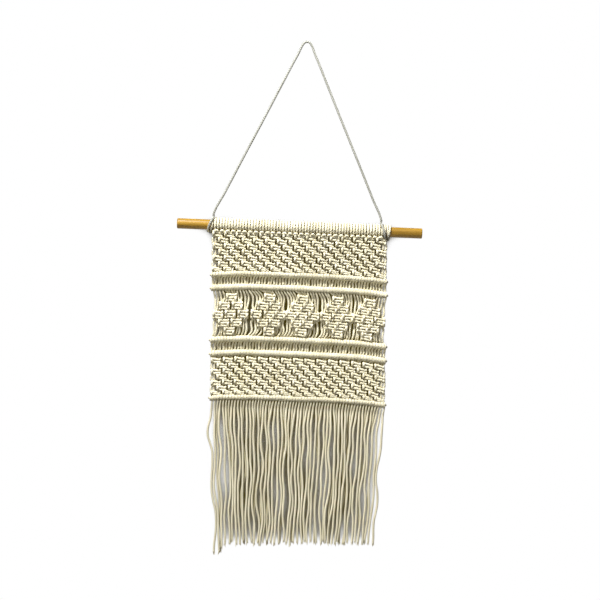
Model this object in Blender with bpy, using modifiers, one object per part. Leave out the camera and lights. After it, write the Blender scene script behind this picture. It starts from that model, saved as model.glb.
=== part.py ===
"""Knotted cotton wall hanging on a wooden dowel, hung from a nail by a taut cord.

Frame: the origin is the top of the nail, under the apex of the hanging cord. +X runs along the
dowel to the viewer's right, +Z is up and -Y faces the viewer, so the wall is on the +Y side.
Everything below the dowel is a stack of sections, each as wide as the cloth:

    mount knots, upper net, ridge 1, loose band, ridge 2, diamonds, ridge 3, loose band,
    ridge 4, lower net, ridge 5, fringe

The same working cords run through every section, so they are cut at the section borders.
Sizes are in metres.
"""
import math

import bmesh
import bpy
from mathutils import Matrix, Vector

# Driving sizes
DOWEL_LENGTH = 0.300
DOWEL_DIAMETER = 0.0127
DOWEL_EDGE = 0.0008             # rounding of the dowel's end edges
HANG_HEIGHT = 0.229             # top of the nail down to the dowel's axis
CORD_DIAMETER = 0.003           # working cords and holding cords
HANGING_CORD_DIAMETER = 0.003
HITCH_WIDTH = 0.0065            # length of dowel that one end hitch of the hanging cord covers
COLUMN_COUNT = 15               # square knots in a full row, four working cords each
COLUMN_PITCH = 0.0143
NET_ROWS = 7
UPPER_NET_ROW = 0.00635         # height of one row of knots
LOWER_NET_ROW = 0.0064
NET_THICKNESS = 0.0075
NET_HOLE_WIDTH = 0.0024         # openings between neighbouring knots
NET_HOLE_HEIGHT = 0.0034
RIDGE_DIAMETER = 0.0086         # working cords hitched round a holding cord
HOLDING_CORD_PROUD = 0.0015     # how far a holding cord sticks out of its ridge
LOOSE_THICKNESS = 0.003         # one layer of loose cords
UPPER_BAND_HEIGHT = 0.0072
LOWER_BAND_HEIGHT = 0.0078
DIAMOND_COUNT = 5
DIAMOND_ROW = 0.0100            # height of one row of knots in a diamond
DIAMOND_THICKNESS = 0.0075
DIAMOND_MARGIN = 0.0018         # loose cords between a ridge and the tip of a diamond
FRINGE_LENGTH = 0.174
FRINGE_THICKNESS = 0.006
FRINGE_GATHER = 0.92            # width of the fringe at its tips, as a share of its top
CLEARANCE = 0.0003              # gap that touching pieces keep
CORD_END_LIFT = 0.37            # slanting end of the hanging cord above its hitch, in diameters
TURN_DIP = 0.3                  # dip between two turns of wound cord, as a share of its thickness
TURN_CROWN = (0.3, 0.7)         # flat top of a wound turn, as shares of the turn's width

# Facets
DOWEL_SIDES = 32
SLEEVE_STEPS = 16
CORD_SIDES = 12
ARC_STEPS = 8
SMOOTH_STEPS = 20               # parts that a stretch of the cord's route is measured in
WELD_DISTANCE = 1e-6

# Knots in each row of a diamond, from its top
DIAMOND_KNOTS = (1, 2, 3, 2, 1)

# Half of the hanging cord, from its hitch to the nail, as shares of the hitch's distance from the
# middle, of its distance in front of the nail, and of the drop from the apex
HANGING_CORD_ROUTE = (
    (1.000, 1.000, 1.000),
    (0.881, 0.867, 0.877),
    (0.763, 0.750, 0.754),
    (0.644, 0.633, 0.631),
    (0.524, 0.500, 0.508),
    (0.405, 0.367, 0.385),
    (0.287, 0.250, 0.262),
    (0.168, 0.133, 0.138),
    (0.097, 0.050, 0.066),
    (0.049, 0.000, 0.0154),
    (0.028, 0.000, 0.0041),
    (0.000, 0.000, 0.000),
)
HANGING_CORD_STEP = 3.0         # spacing of the cord's rings, in cord diameters

# Derived sizes
CLOTH_WIDTH = COLUMN_COUNT * COLUMN_PITCH
KNOT_BORE = DOWEL_DIAMETER / 2 + CLEARANCE
KNOT_OUTSIDE = KNOT_BORE + CORD_DIAMETER
HANGING_KNOT_OUTSIDE = KNOT_BORE + HANGING_CORD_DIAMETER
HITCH_X = CLOTH_WIDTH / 2 + CLEARANCE + HITCH_WIDTH / 2
CORD_END_FORWARD = 2 * HANGING_CORD_DIAMETER
CORD_END_RADIUS = HANGING_KNOT_OUTSIDE + CLEARANCE + CORD_END_LIFT * HANGING_CORD_DIAMETER
CORD_END_RISE = math.sqrt(CORD_END_RADIUS ** 2 - CORD_END_FORWARD ** 2)
HOLDING_BORE = CORD_DIAMETER / 2 + CLEARANCE
SECTION_COLUMNS = COLUMN_COUNT / DIAMOND_COUNT

MATERIALS = {
    "cotton_cord": ((0.83, 0.76, 0.58), 0.85),
    "hanging_cord": ((0.80, 0.74, 0.58), 0.85),
    "holding_cord": ((0.76, 0.69, 0.50), 0.88),
    "wood_dowel": ((0.60, 0.32, 0.07), 0.45),
}


def stack():
    """Top and bottom of each section below the dowel's axis, worked out from the heights."""
    heights = (
        ("knot_net_upper", NET_ROWS * UPPER_NET_ROW),
        ("hitch_row_1", RIDGE_DIAMETER),
        ("strand_band_upper", UPPER_BAND_HEIGHT),
        ("hitch_row_2", RIDGE_DIAMETER),
        ("diamonds", len(DIAMOND_KNOTS) * DIAMOND_ROW + 2 * (DIAMOND_MARGIN + CLEARANCE)),
        ("hitch_row_3", RIDGE_DIAMETER),
        ("strand_band_lower", LOWER_BAND_HEIGHT),
        ("hitch_row_4", RIDGE_DIAMETER),
        ("knot_net_lower", NET_ROWS * LOWER_NET_ROW),
        ("hitch_row_5", RIDGE_DIAMETER),
        ("fringe", FRINGE_LENGTH),
    )
    places = {}
    top = -HANG_HEIGHT - KNOT_OUTSIDE
    for section, height in heights:
        top -= CLEARANCE
        places[section] = (top, top - height)
        top -= height
    return places


def new_collection(title):
    made = bpy.data.collections.new(title)
    bpy.context.scene.collection.children.link(made)
    return made


def make_materials():
    made = {}
    for title, (colour, roughness) in MATERIALS.items():
        material = bpy.data.materials.new(title)
        material.use_nodes = True
        shader = material.node_tree.nodes["Principled BSDF"]
        shader.inputs["Base Color"].default_value = (*colour, 1.0)
        shader.inputs["Roughness"].default_value = roughness
        shader.inputs["Metallic"].default_value = 0.0
        made[title] = material
    return made


def place(name, mesh, material):
    """An object for a sub-part, in the hanging's own collection."""
    mesh.name = name
    mesh.materials.append(MADE_MATERIALS[material])
    made = bpy.data.objects.new(name, mesh)
    HANGING.objects.link(made)
    return made


def mesh_from_curve(curve, matrix):
    """The solid of a curve with its caps welded, moved by a matrix."""
    guide = bpy.data.objects.new("guide", curve)
    HANGING.objects.link(guide)
    bpy.context.view_layer.update()
    evaluated = guide.evaluated_get(bpy.context.evaluated_depsgraph_get())
    mesh = bpy.data.meshes.new_from_object(evaluated)
    bpy.data.objects.remove(guide)
    bpy.data.curves.remove(curve)
    welded = bmesh.new()
    welded.from_mesh(mesh)
    bmesh.ops.remove_doubles(welded, verts=welded.verts, dist=WELD_DISTANCE)
    welded.to_mesh(mesh)
    welded.free()
    mesh.materials.clear()
    mesh.transform(matrix)
    return mesh


def outline_solid(outline, thickness, matrix):
    """A flat outline made as thick as asked, lying either side of its own plane."""
    curve = bpy.data.curves.new("outline", "CURVE")
    curve.dimensions = "2D"
    curve.fill_mode = "BOTH"
    curve.extrude = thickness / 2
    spline = curve.splines.new("POLY")
    spline.points.add(len(outline) - 1)
    for point, (across, up) in zip(spline.points, outline):
        point.co = (across, up, 0.0, 1.0)
    spline.use_cyclic_u = True
    return mesh_from_curve(curve, matrix)


def facing_viewer():
    """Stands an outline up so that it faces the viewer, with its thickness along Y."""
    return Matrix.Rotation(math.pi / 2, 4, "X")


def seen_from_side(x):
    """Turns an outline drawn as (Y, Z) so that its thickness runs along X, at x."""
    return Matrix(((0, 0, 1, x), (1, 0, 0, 0), (0, 1, 0, 0), (0, 0, 0, 1)))


def slab(name, top, bottom, width, thickness, rounding, material):
    """A block across the cloth with rounded edges."""
    shape = bmesh.new()
    size = Matrix.Diagonal((width, thickness, top - bottom, 1.0))
    middle = Matrix.Translation((0.0, 0.0, (top + bottom) / 2))
    bmesh.ops.create_cube(shape, size=1.0, matrix=middle @ size)
    mesh = bpy.data.meshes.new(name)
    shape.to_mesh(mesh)
    shape.free()
    made = place(name, mesh, material)
    bevel = made.modifiers.new("rounded edges", "BEVEL")
    bevel.width = rounding
    bevel.segments = 2
    return made


def turned_sleeve(name, profile, axis_point, material):
    """A ring turned about an axis along X: the profile is a closed loop of (x, radius)."""
    mesh = bpy.data.meshes.new(name)
    points = [(x, 0.0, radius) for x, radius in reversed(profile)]
    edges = [(i, (i + 1) % len(points)) for i in range(len(points))]
    mesh.from_pydata(points, edges, [])
    made = place(name, mesh, material)
    made.location = axis_point
    turn = made.modifiers.new("turned", "SCREW")
    turn.axis = "X"
    turn.angle = 2 * math.pi
    turn.steps = SLEEVE_STEPS
    turn.render_steps = SLEEVE_STEPS
    turn.use_merge_vertices = True
    turn.merge_threshold = 0.00001
    turn.use_smooth_shade = True
    return made


def wound_profile(width, bore, outside, turns):
    """Outline of cord wound side by side: a straight bore and one rounded hump a turn."""
    inner = bore / math.cos(math.pi / SLEEVE_STEPS)
    valley = outside - TURN_DIP * (outside - bore)
    pitch = width / turns
    points = [(-width / 2, inner), (-width / 2, valley)]
    for turn in range(turns):
        start = -width / 2 + turn * pitch
        for share in TURN_CROWN:
            points.append((start + share * pitch, outside))
        points.append((start + pitch, valley))
    points.append((width / 2, inner))
    return points


def make_dowel():
    shape = bmesh.new()
    along_x = Matrix.Rotation(math.pi / 2, 4, "Y")
    bmesh.ops.create_cone(shape, cap_ends=True, segments=DOWEL_SIDES, radius1=DOWEL_DIAMETER / 2,
                          radius2=DOWEL_DIAMETER / 2, depth=DOWEL_LENGTH, matrix=along_x)
    mesh = bpy.data.meshes.new("dowel")
    shape.to_mesh(mesh)
    shape.free()
    mesh.shade_smooth()
    made = place("dowel", mesh, "wood_dowel")
    made.location = (0.0, 0.0, -HANG_HEIGHT)
    bevel = made.modifiers.new("eased ends", "BEVEL")
    bevel.width = DOWEL_EDGE
    bevel.segments = 2
    bevel.limit_method = "ANGLE"
    bevel.angle_limit = math.radians(60)


def smooth_route(route, step):
    """Points a set distance apart on a smooth curve through the route's points."""
    path = [Vector(point) for point in route]
    path = [2 * path[0] - path[1], *path, 2 * path[-1] - path[-2]]
    fine = []
    for a, b, c, d in zip(path, path[1:], path[2:], path[3:]):
        for part in range(SMOOTH_STEPS):
            t = part / SMOOTH_STEPS
            fine.append(0.5 * (2 * b + (c - a) * t + (2 * a - 5 * b + 4 * c - d) * t ** 2
                               + (3 * b - a - 3 * c + d) * t ** 3))
    fine.append(path[-2])
    lengths = [0.0]
    for a, b in zip(fine, fine[1:]):
        lengths.append(lengths[-1] + (b - a).length)
    count = max(2, round(lengths[-1] / step))
    points = []
    here = 0
    for number in range(count + 1):
        wanted = lengths[-1] * number / count
        while here < len(fine) - 2 and lengths[here + 1] < wanted:
            here += 1
        share = (wanted - lengths[here]) / (lengths[here + 1] - lengths[here])
        points.append(fine[here].lerp(fine[here + 1], min(share, 1.0)))
    return points


def make_hanging_cord():
    """The taut cord from one hitch, over the nail, to the other."""
    apex = HANGING_CORD_DIAMETER / 2
    drop = apex + HANG_HEIGHT - CORD_END_RISE
    left = [(-HITCH_X * across, -CORD_END_FORWARD * forward, apex - drop * down)
            for across, forward, down in HANGING_CORD_ROUTE]
    right = [(-x, y, z) for x, y, z in reversed(left[:-1])]
    curve = bpy.data.curves.new("hanging_cord", "CURVE")
    curve.dimensions = "3D"
    curve.bevel_depth = HANGING_CORD_DIAMETER / 2
    curve.bevel_resolution = 2
    curve.use_fill_caps = True
    points = smooth_route(left + right, HANGING_CORD_STEP * HANGING_CORD_DIAMETER)
    spline = curve.splines.new("POLY")
    spline.points.add(len(points) - 1)
    for target, point in zip(spline.points, points):
        target.co = (*point, 1.0)
    mesh = mesh_from_curve(curve, Matrix.Identity(4))
    mesh.shade_smooth()
    place("hanging_cord", mesh, "hanging_cord")


def make_hanging_knots():
    """The end hitches of the hanging cord, two turns each, outside the cloth."""
    profile = wound_profile(HITCH_WIDTH, KNOT_BORE, HANGING_KNOT_OUTSIDE, 2)
    for side, x in (("left", -HITCH_X), ("right", HITCH_X)):
        turned_sleeve(f"hanging_knot_{side}", profile, (x, 0.0, -HANG_HEIGHT), "hanging_cord")


def column_x(column):
    """Middle of a column of knots, counted from 0 at the left."""
    return (column - (COLUMN_COUNT - 1) / 2) * COLUMN_PITCH


def make_mount_knots():
    """Two lark's head knots a column, which tie the working cords to the dowel."""
    profile = wound_profile(COLUMN_PITCH - CLEARANCE, KNOT_BORE, KNOT_OUTSIDE, 2)
    for column in range(COLUMN_COUNT):
        centre = (column_x(column), 0.0, -HANG_HEIGHT)
        turned_sleeve(f"mount_knots_{column + 1:02d}", profile, centre, "cotton_cord")


def net_hole_cutter(name, top, row_height):
    """Diamond openings between the knots of each row; every other row is half a column over."""
    shape = bmesh.new()
    lie_along_y = Matrix.Rotation(math.pi / 2, 4, "X")
    size = Matrix.Diagonal((NET_HOLE_WIDTH / 2, 2 * NET_THICKNESS, NET_HOLE_HEIGHT / 2, 1.0))
    for row in range(NET_ROWS):
        shifted = row % 2
        z = top - (row + 0.5) * row_height
        for gap in range(COLUMN_COUNT - 1 - shifted):
            x = column_x(gap) + (0.5 + 0.5 * shifted) * COLUMN_PITCH
            where = Matrix.Translation((x, 0.0, z)) @ size @ lie_along_y
            bmesh.ops.create_cone(shape, cap_ends=True, segments=4, radius1=1.0, radius2=1.0,
                                  depth=1.0, matrix=where)
    mesh = bpy.data.meshes.new(name)
    shape.to_mesh(mesh)
    shape.free()
    cutter = bpy.data.objects.new(name, mesh)
    cutter.hide_render = True
    cutter.display_type = "WIRE"
    CUTTERS.objects.link(cutter)
    return cutter


def make_net(name, row_height):
    """A flat net of square knots in rows that alternate, with an opening at each gap."""
    top, bottom = PLACES[name]
    net = slab(name, top, bottom, CLOTH_WIDTH, NET_THICKNESS, NET_THICKNESS / 4, "cotton_cord")
    cut = net.modifiers.new("openings", "BOOLEAN")
    cut.operation = "DIFFERENCE"
    cut.solver = "EXACT"
    cut.object = net_hole_cutter(f"{name}_openings", top, row_height)


def make_ridge(number):
    """A row of double half hitches, wound round a holding cord that it hides."""
    name = f"hitch_row_{number}"
    top, bottom = PLACES[name]
    centre = (0.0, 0.0, (top + bottom) / 2)
    half = CLOTH_WIDTH / 2
    outside = RIDGE_DIAMETER / 2
    eased = outside - CORD_DIAMETER / 3
    bore = HOLDING_BORE / math.cos(math.pi / SLEEVE_STEPS)
    profile = [(-half, bore), (-half, eased), (-half + CORD_DIAMETER / 3, outside),
               (half - CORD_DIAMETER / 3, outside), (half, eased), (half, bore)]
    turned_sleeve(name, profile, centre, "cotton_cord")

    shape = bmesh.new()
    along_x = Matrix.Rotation(math.pi / 2, 4, "Y")
    bmesh.ops.create_cone(shape, cap_ends=True, segments=CORD_SIDES, radius1=CORD_DIAMETER / 2,
                          radius2=CORD_DIAMETER / 2, depth=CLOTH_WIDTH + 2 * HOLDING_CORD_PROUD,
                          matrix=along_x)
    mesh = bpy.data.meshes.new("holding_cord")
    shape.to_mesh(mesh)
    shape.free()
    mesh.shade_smooth()
    cord = place(f"holding_cord_{number}", mesh, "holding_cord")
    cord.location = centre


def make_band(name):
    """Loose cords between two ridges, where the cloth folds."""
    top, bottom = PLACES[name]
    slab(name, top, bottom, CLOTH_WIDTH - CORD_DIAMETER, LOOSE_THICKNESS, LOOSE_THICKNESS / 4,
         "cotton_cord")


def diamond_halves(row):
    """Half the width of a diamond at one of its rows."""
    return DIAMOND_KNOTS[row] * COLUMN_PITCH / 2


def diamond_centre(number):
    return column_x(0) + ((number + 0.5) * SECTION_COLUMNS - 0.5) * COLUMN_PITCH


def diamond_row_edges():
    """The heights at which the rows of the diamonds begin and end, from the top."""
    top = PLACES["diamonds"][0] - DIAMOND_MARGIN - CLEARANCE
    return [top - row * DIAMOND_ROW for row in range(len(DIAMOND_KNOTS) + 1)]


def make_diamond(number):
    """A diamond of square knots: its rows widen to the middle and narrow again."""
    edges = diamond_row_edges()
    centre = diamond_centre(number)
    inset = CLEARANCE / 2
    right = []
    for row in range(len(DIAMOND_KNOTS)):
        half = diamond_halves(row) - inset
        right.append((half, edges[row]))
        right.append((half, edges[row + 1]))
    outline = [(centre + across, up) for across, up in right]
    outline += [(centre - across, up) for across, up in reversed(right)]
    mesh = outline_solid(outline, DIAMOND_THICKNESS, facing_viewer())
    place(f"diamond_{number + 1}", mesh, "cotton_cord")


def comb_outline(shoulder_row, tip_row, ridge_edge, strip_edge):
    """Loose cords beside the diamonds: a strip along a ridge, with a stepped tooth in each gap.

    The teeth start beside shoulder_row, narrow where they pass tip_row and end there. ridge_edge
    is the strip's edge at the ridge and strip_edge its edge at the diamonds' tips.
    """
    edges = diamond_row_edges()
    downward = tip_row > shoulder_row
    away = CLEARANCE if downward else -CLEARANCE
    shoulder = edges[max(shoulder_row, tip_row)] + away
    tip = edges[tip_row + 1 if downward else tip_row] + away
    near = diamond_halves(shoulder_row) + CLEARANCE / 2
    far = diamond_halves(tip_row) + CLEARANCE / 2
    side = CLOTH_WIDTH / 2
    points = [(-side, ridge_edge), (-side, tip)]
    for number in range(DIAMOND_COUNT):
        centre = diamond_centre(number)
        points += [(centre - far, tip), (centre - far, shoulder), (centre - near, shoulder),
                   (centre - near, strip_edge), (centre + near, strip_edge),
                   (centre + near, shoulder), (centre + far, shoulder), (centre + far, tip)]
    points += [(side, tip), (side, ridge_edge)]
    return points


def make_loose_strands():
    """The cords that run straight past the diamonds, above and below their widest row."""
    top, bottom = PLACES["diamonds"]
    edges = diamond_row_edges()
    last = len(DIAMOND_KNOTS) - 1
    upper = comb_outline(0, 1, top, edges[0] + CLEARANCE)
    lower = comb_outline(last, last - 1, bottom, edges[-1] - CLEARANCE)
    for name, outline in (("loose_strands_upper", upper), ("loose_strands_lower", lower)):
        place(name, outline_solid(outline, LOOSE_THICKNESS, facing_viewer()), "cotton_cord")


def make_fringe():
    """Hanging ends, four cords a column, drawn together a little towards their tips.

    The top of each is rounded about the line that it swings on, just below the last ridge.
    """
    top, bottom = PLACES["fringe"]
    radius = FRINGE_THICKNESS / 2
    hinge = top - radius
    outline = []
    for step in range(ARC_STEPS + 1):
        angle = math.pi * step / ARC_STEPS
        outline.append((radius * math.cos(angle), hinge + radius * math.sin(angle)))
    outline += [(-radius, bottom), (radius, bottom)]
    for column in range(COLUMN_COUNT):
        x = column_x(column)
        mesh = outline_solid(outline, COLUMN_PITCH - CLEARANCE, seen_from_side(x))
        for vertex in mesh.vertices:
            drop = min(1.0, max(0.0, (hinge - vertex.co.z) / (hinge - bottom)))
            gather = 1.0 - drop * (1.0 - FRINGE_GATHER)
            vertex.co.x = x * gather + (vertex.co.x - x) * (gather - drop * CLEARANCE / COLUMN_PITCH)
        place(f"fringe_{column + 1:02d}", mesh, "cotton_cord")


for old in list(bpy.data.objects):
    bpy.data.objects.remove(old)

HANGING = new_collection("macrame_wall_hanging")
CUTTERS = new_collection("cutters")
MADE_MATERIALS = make_materials()
PLACES = stack()

make_dowel()
make_hanging_cord()
make_hanging_knots()
make_mount_knots()
make_net("knot_net_upper", UPPER_NET_ROW)
make_net("knot_net_lower", LOWER_NET_ROW)
for ridge in range(1, 6):
    make_ridge(ridge)
make_band("strand_band_upper")
make_band("strand_band_lower")
for diamond in range(DIAMOND_COUNT):
    make_diamond(diamond)
make_loose_strands()
make_fringe()
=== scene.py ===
"""Looks of the knotted cotton wall hanging: every working cord is followed through its real knots.

A cord's route is worked out for a flat cloth, as points with a radius, and hang() then lets the
cloth arch and lean as it hangs. Geometry Nodes sweep a twisted three-ply section along the routes.
"""
import math
import random

import bpy
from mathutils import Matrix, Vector, noise


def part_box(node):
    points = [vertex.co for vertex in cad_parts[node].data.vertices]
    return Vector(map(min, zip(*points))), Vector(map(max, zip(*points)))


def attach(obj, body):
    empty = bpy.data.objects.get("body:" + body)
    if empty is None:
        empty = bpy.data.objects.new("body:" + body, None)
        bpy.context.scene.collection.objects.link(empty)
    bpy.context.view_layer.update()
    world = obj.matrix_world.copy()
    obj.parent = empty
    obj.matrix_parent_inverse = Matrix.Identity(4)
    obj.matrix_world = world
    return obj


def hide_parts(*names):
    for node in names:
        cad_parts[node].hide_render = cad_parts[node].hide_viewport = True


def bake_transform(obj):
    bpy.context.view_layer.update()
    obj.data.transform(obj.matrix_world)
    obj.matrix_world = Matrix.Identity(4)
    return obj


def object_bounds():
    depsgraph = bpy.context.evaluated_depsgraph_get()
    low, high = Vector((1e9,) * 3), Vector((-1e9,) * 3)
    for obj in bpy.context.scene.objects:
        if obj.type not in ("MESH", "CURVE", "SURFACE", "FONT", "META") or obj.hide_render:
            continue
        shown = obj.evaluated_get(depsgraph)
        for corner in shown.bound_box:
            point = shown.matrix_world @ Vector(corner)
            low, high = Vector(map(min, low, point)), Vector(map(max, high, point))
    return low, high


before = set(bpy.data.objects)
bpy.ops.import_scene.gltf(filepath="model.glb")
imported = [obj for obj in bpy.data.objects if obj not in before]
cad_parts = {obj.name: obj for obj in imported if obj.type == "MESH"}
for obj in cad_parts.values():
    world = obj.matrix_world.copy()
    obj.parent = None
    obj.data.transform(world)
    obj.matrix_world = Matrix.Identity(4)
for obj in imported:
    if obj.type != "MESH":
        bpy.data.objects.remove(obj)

MM = 0.001
TURN = 2 * math.pi
SEED = 20

# ---------------------------------------------------------------- sizes that follow the frame


def middle(node):
    low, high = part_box(node)
    return (low + high) / 2


def half_size(node):
    low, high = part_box(node)
    return (high - low) / 2


CAD_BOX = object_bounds()
COLUMNS = 15
STRANDS = 4 * COLUMNS
RIDGES = 5
DIAMONDS = 5
DOWEL_Z = middle("dowel").z
DOWEL_RADIUS = half_size("dowel").z
CLOTH_HALF = half_size("knot_net_upper").x
STRAND_PITCH = 2 * CLOTH_HALF / STRANDS
COLUMN_PITCH = 4 * STRAND_PITCH
RIDGE_Z = [middle(f"hitch_row_{n + 1}").z for n in range(RIDGES)]
FRINGE_TIP_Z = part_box("fringe_08")[0].z

# ---------------------------------------------------------------- the maker's own sizes

CORD_RADIUS = 1.45 * MM
BAND_RADIUS = 1.6 * MM          # the slack cords between two close ridges
KNOTTED_RADIUS = 1.70 * MM      # a soft cord spreads where it bends in a knot
HEAD_RADIUS = 1.75 * MM
HITCHED_RADIUS = 1.14 * MM      # a working cord pulled tight round a holding cord
HOLDING_RADIUS = 1.5 * MM
RIDGE_RING = 2.85 * MM           # holding cord's axis to a hitched cord's axis
RIDGE_HALF = RIDGE_RING + HITCHED_RADIUS
RIDGE_FORWARD = 1.3 * MM        # the ridges stand as far forward as the knots beside them
HITCH_SHIFT = 0.9 * MM          # sideways from a hitch's middle to each of its two turns

KNOT_HALF_WIDTH = 4.9 * MM
KNOT_SLANT = 0.16               # each knot leans down to the right by this much across its width
KNOT_DEPTH = 2.7 * MM
CORE_OFFSET = 1.3 * MM
NET_ROWS = 7
KNOT_SHARE = 0.97               # of a row's height that its knots fill
UPPER_FIRST_ROW = 11.4 * MM     # dowel's axis to the middle of the first row
UPPER_LAST_ROW = 4.4 * MM       # middle of the last row to ridge 1
LOWER_FIRST_ROW = 8.8 * MM
LOWER_LAST_ROW = 3.9 * MM
KNOT_TO_RIDGE = 3.5 * MM        # the last row's knots stop here, above the ridge's middle
DIAMOND_START = 7.7 * MM        # middle of ridge 2 to the first knot's top
DIAMOND_ROW = 10.3 * MM
DIAMOND_KNOT = (5.4 * MM, 10.0 * MM, 0.07)      # half its width, its height and its slant
# How far each diamond is drawn to the right at its top and at its bottom, by uneven tying
DIAMOND_DRIFTS = ((4.0, 0.5), (7.5, 6.5), (5.5, 3.0), (5.0, 4.5), (2.5, -3.0))

HEAD_INNER = DOWEL_RADIUS + 1.45 * MM
HEAD_OUTER = HEAD_INNER + 2.6 * MM
HEAD_BAR_ANGLE = -40            # degrees below the dowel's front
HEAD_FRONT = 1.72 * MM           # sideways from a head's middle to its two front turns
HEAD_BACK = 2.1 * MM
HEADS_DRAWN = 0.968             # the heads sit closer on the dowel than the net is wide
HEADS_ASIDE = -1.0 * MM

ARCH_RISE = 1.6 * MM            # ridges at mid width stand this much above the frame's
ARCH_DROOP = 3.8 * MM           # and their ends hang this much below the middle
LEAN = 6.0 * MM                 # sideways drift of the cloth from dowel to ridge 5
NET_FORWARD = 3.4 * MM          # the cloth leaves the dowel on its front side

FRINGE_GATHER = 0.92
FRINGE_DRIFT = 2.5 * MM
FRINGE_STEPS = 18
FRINGE_RADIUS = 1.58 * MM       # a loose end swells
FRINGE_SPACING = 2.8 * MM       # soft cords that touch press this close, middle to middle
FRINGE_FRONT = -0.9 * MM
FRINGE_BEHIND = 1.9 * MM
BUNCHING = 3.0 * MM             # how far neighbouring strands drift together
EDGE_BULGE = (-6.5 * MM, -2.6 * MM, -1.2 * MM)    # the first strands at the left bow outwards
PUSHES = 6

# Turns of a working cord in a half knot: height share, sideways share, depth share (front is -1)
FRONT_ENTRY = ((0.00, -0.80, 0.00), (0.18, -1.02, 0.10), (0.36, -0.85, -0.60), (0.45, -0.30, -1.00),
               (0.54, 0.30, -1.00), (0.68, 0.88, -0.60), (1.00, 1.10, -0.10))
FRONT_MIDDLE = ((0.32, -0.88, -0.60), (0.46, -0.30, -1.05), (0.54, 0.30, -1.05), (0.68, 0.88, -0.60),
                (1.00, 1.10, -0.10))
BACK_ENTRY = ((0.00, -0.80, 0.00), (0.22, -1.04, -0.60), (0.46, -1.02, -1.00), (0.66, -0.92, -0.10),
              (0.62, -0.50, 0.90), (0.50, 0.00, 1.00), (0.36, 0.50, 0.90), (0.24, 0.90, 0.10),
              (0.36, 1.00, -1.05), (0.66, 0.98, -1.50), (1.00, 0.96, -1.60))
BACK_MIDDLE = ((0.34, -0.98, -1.50), (0.64, -1.00, -1.05), (0.74, -0.85, 0.10), (0.62, -0.45, 0.90),
               (0.50, 0.00, 1.00), (0.38, 0.45, 0.90), (0.26, 0.85, 0.10), (0.36, 1.00, -1.05),
               (0.66, 0.98, -1.50), (1.00, 0.96, -1.60))

# Half of the hanging cord, from its hitch to the nail, as shares of the hitch's distance from the
# middle, of its distance in front of the nail, and of the drop from the apex
HANGING_CORD_ROUTE = (
    (1.000, 1.000, 1.000),
    (0.881, 0.867, 0.877),
    (0.763, 0.750, 0.754),
    (0.644, 0.633, 0.631),
    (0.524, 0.500, 0.508),
    (0.405, 0.367, 0.385),
    (0.287, 0.250, 0.262),
    (0.168, 0.133, 0.138),
    (0.097, 0.050, 0.066),
    (0.049, 0.000, 0.0154),
    (0.028, 0.000, 0.0041),
    (0.000, 0.000, 0.000),
)
HANGING_DIAMETER = 3.0 * MM
LEG_START = 4.0 * MM            # a leg runs straight from this much above its hitch

# ---------------------------------------------------------------- camera


def make_camera():
    aim = Vector((4.1 * MM, 0.0, -316.6 * MM))
    distance = 1.8
    seen_width = 0.735
    sensor = 36.0
    data = bpy.data.cameras.new("camera")
    data.sensor_width = sensor
    data.lens = sensor * distance / seen_width
    camera = bpy.data.objects.new("camera", data)
    camera.location = aim - Vector((0.0, distance, 0.0))
    camera.rotation_euler = (math.radians(90), math.radians(-2.4), 0.0)
    bpy.context.scene.collection.objects.link(camera)
    bpy.context.scene.camera = camera


# ---------------------------------------------------------------- node helpers


def add_node(tree, kind, **settings):
    made = tree.nodes.new(kind)
    for title, value in settings.items():
        setattr(made, title, value)
    return made


def feed(tree, socket, value):
    """Links another node's output to a socket, or sets the socket's own value."""
    if isinstance(value, bpy.types.NodeSocket):
        tree.links.new(value, socket)
    else:
        socket.default_value = value


def calculate(tree, operation, *terms):
    step = add_node(tree, "ShaderNodeMath", operation=operation)
    for socket, term in zip(step.inputs, terms):
        feed(tree, socket, term)
    return step.outputs[0]


def open_group(title, kind, inputs, outputs):
    """A node group with its sockets, and its input and output nodes."""
    tree = bpy.data.node_groups.new(title, kind)
    for direction, sockets in (("INPUT", inputs), ("OUTPUT", outputs)):
        for name, socket_kind, value in sockets:
            socket = tree.interface.new_socket(name, in_out=direction, socket_type="NodeSocket" + socket_kind)
            if value is not None:
                socket.default_value = value
    return tree, tree.nodes.new("NodeGroupInput"), tree.nodes.new("NodeGroupOutput")


# ---------------------------------------------------------------- twisted cord, swept along routes


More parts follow.
